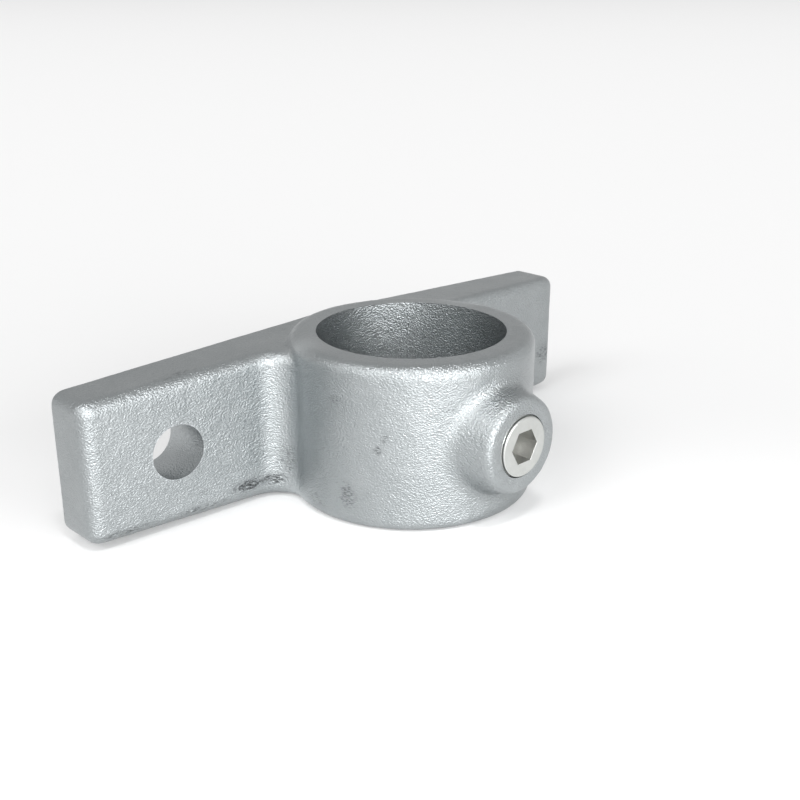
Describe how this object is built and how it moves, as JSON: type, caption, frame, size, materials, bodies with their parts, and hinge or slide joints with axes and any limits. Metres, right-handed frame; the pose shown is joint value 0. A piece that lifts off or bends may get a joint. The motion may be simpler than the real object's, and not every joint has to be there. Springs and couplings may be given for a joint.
{
  "type": "double lug tube clamp",
  "caption": "Cast clamp that slides over a round tube and is locked by a socket set screw, with a flat back and a drilled lug on each side for bolting it to a flat surface.",
  "frame": {"origin": "on the axis of the bore, halfway up the collar", "axes": "+Z along the bore, +Y out of the flat back, +X along the two lugs, with the set screw on the -Y side"},
  "size_m": [0.1686, 0.0722, 0.0426],
  "materials": {
    "casting": "hot-dip galvanised over a grainy cast skin",
    "screw": "plated, satin"
  },
  "bodies": {
    "casting": {"clamp_casting": "casting"},
    "screw": {"set_screw": "screw"}
  },
  "joints": [
    {"name": "set_screw_travel", "type": "slide", "parent": "casting", "child": "screw", "axis": [0, -1, 0], "range_m": [-0.0008, 0.006]}
  ]
}
